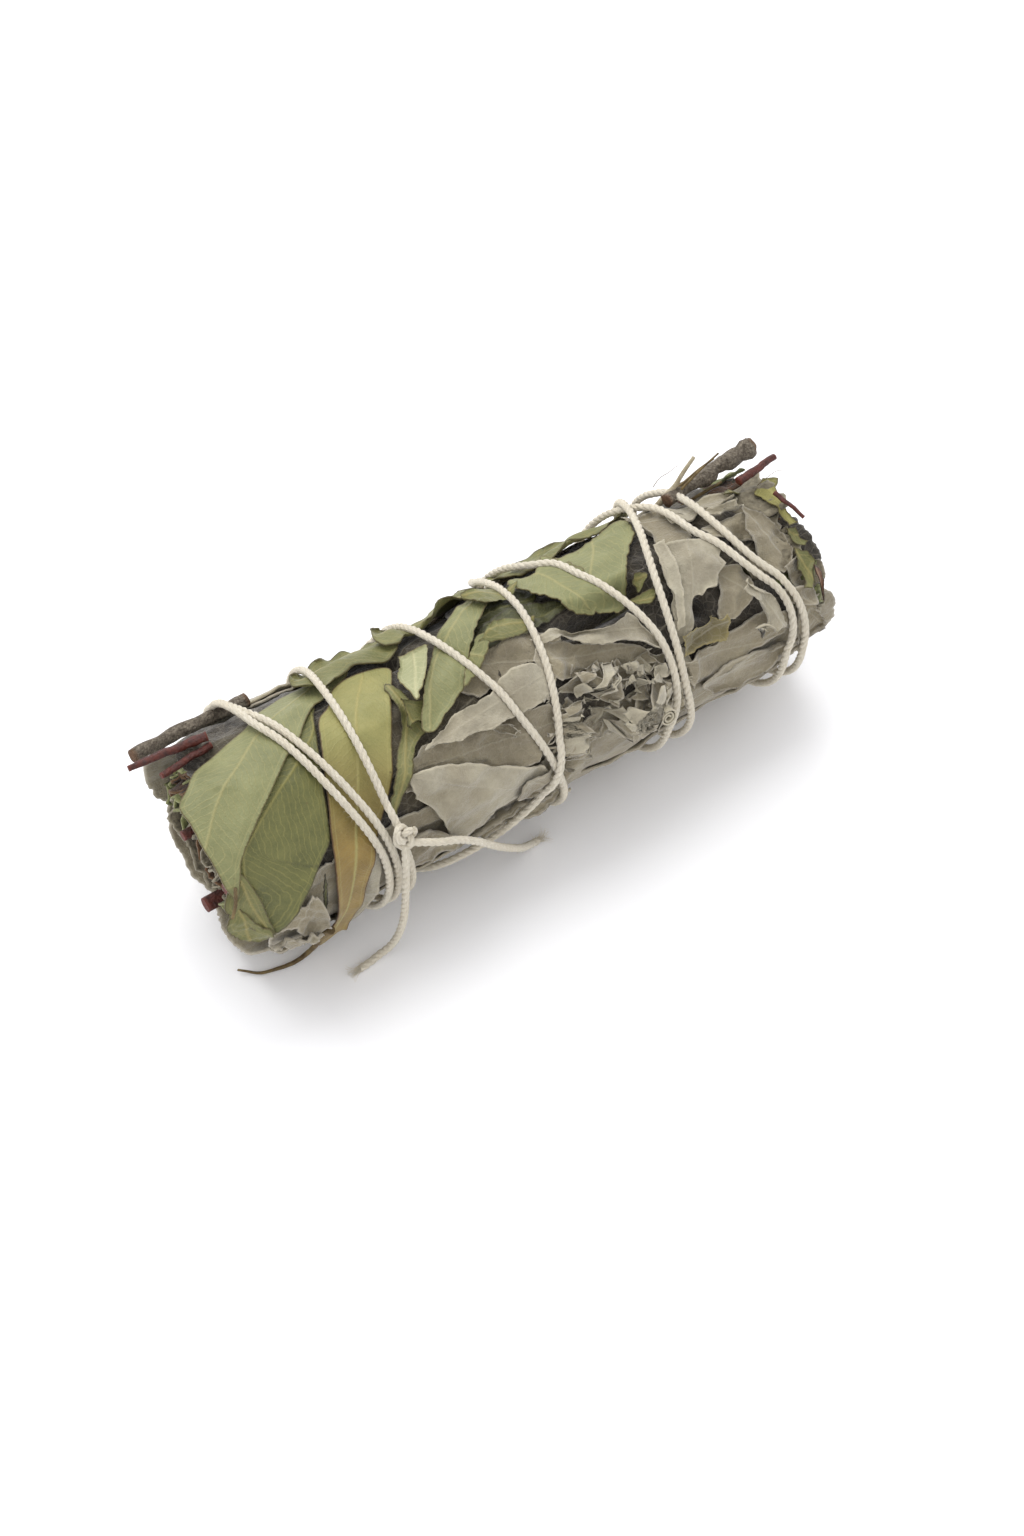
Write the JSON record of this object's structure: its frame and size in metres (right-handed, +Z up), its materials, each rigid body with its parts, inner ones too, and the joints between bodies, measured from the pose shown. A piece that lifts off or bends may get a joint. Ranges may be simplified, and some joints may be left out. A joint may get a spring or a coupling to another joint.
{
  "type": "dried sage bunch",
  "caption": "Dried bunch of white sage and eucalyptus leaves with woody stems, packed lengthwise and tied round with knotted cotton string.",
  "frame": {"origin": "on the plane the bunch lies on, under the middle of the bunch without the free string ends", "axes": "+X along the bunch to its right end, +Z up, -Y to the side with the knot"},
  "size_m": [0.1134, 0.0418, 0.0405],
  "materials": {
    "sage_grey": "velvety dry white sage leaf, grey-beige, matt",
    "sage_inside": "rolled dry sage leaf inside the bunch, darker and matt",
    "eucalyptus_green": "smooth dry eucalyptus leaf, grey-green with pale veins, low sheen",
    "eucalyptus_yellow": "smooth dry eucalyptus leaf, olive to mustard, low sheen",
    "grey_bark": "rough grey-brown bark, matt",
    "red_stem": "smooth dark red-brown stem, low sheen",
    "cotton_string": "unbleached twisted cotton string, matt with fine fuzz"
  },
  "bodies": {
    "root": {"rolled_inner_leaf_1": "sage_inside", "rolled_inner_leaf_2": "sage_inside", "rolled_inner_leaf_3": "sage_inside", "rolled_inner_leaf_4": "sage_inside", "rolled_inner_leaf_5": "sage_inside", "rolled_inner_leaf_6": "sage_inside", "rolled_inner_leaf_7": "sage_inside", "inner_stem_1": "red_stem", "inner_stem_2": "red_stem", "inner_stem_3": "red_stem", "inner_stem_4": "red_stem", "inner_stem_5": "red_stem", "wrap_sage_leaf_1": "sage_grey", "wrap_sage_leaf_2": "sage_grey", "wrap_sage_leaf_3": "sage_grey", "wrap_sage_leaf_4": "sage_grey", "wrap_sage_leaf_5": "sage_grey", "wrap_sage_leaf_6": "sage_grey", "wrap_sage_leaf_7": "sage_grey", "wrap_sage_leaf_8": "sage_grey", "wrap_sage_leaf_9": "sage_grey", "wrap_sage_leaf_10": "sage_grey", "wrap_sage_leaf_11": "sage_grey", "wrap_sage_leaf_12": "sage_grey", "grey_bark_twig_left": "grey_bark", "red_stem_left": "red_stem", "rough_grey_twig_right": "grey_bark", "red_twig_right": "red_stem", "eucalyptus_leaf_left_dark": "eucalyptus_green", "eucalyptus_leaf_left_broad": "eucalyptus_green", "eucalyptus_leaf_long_yellow": "eucalyptus_yellow", "torn_eucalyptus_leaf_1": "eucalyptus_green", "torn_eucalyptus_leaf_2": "eucalyptus_green", "torn_eucalyptus_leaf_3": "eucalyptus_green", "torn_eucalyptus_leaf_4": "eucalyptus_green", "torn_eucalyptus_leaf_5": "eucalyptus_green", "torn_eucalyptus_leaf_6": "eucalyptus_green", "front_sage_leaf_1": "sage_grey", "front_sage_leaf_2": "sage_grey", "front_sage_leaf_3": "sage_grey", "front_sage_leaf_4": "sage_grey", "front_sage_leaf_5": "sage_grey", "front_sage_leaf_6": "sage_grey", "front_sage_leaf_7": "sage_grey", "front_sage_leaf_8": "sage_grey", "front_sage_leaf_9": "sage_grey", "front_sage_leaf_10": "sage_grey", "front_sage_leaf_11": "sage_grey", "front_sage_leaf_12": "sage_grey", "underside_sage_leaf_1": "sage_grey", "underside_sage_leaf_2": "sage_grey", "underside_sage_leaf_3": "sage_grey", "underside_sage_leaf_4": "sage_grey", "back_sage_leaf_1": "sage_grey", "back_sage_leaf_2": "sage_grey", "back_sage_leaf_3": "sage_grey", "string_wraps": "cotton_string", "string_knot": "cotton_string", "string_tail_right": "cotton_string", "string_tail_down": "cotton_string"}
  },
  "joints": []
}
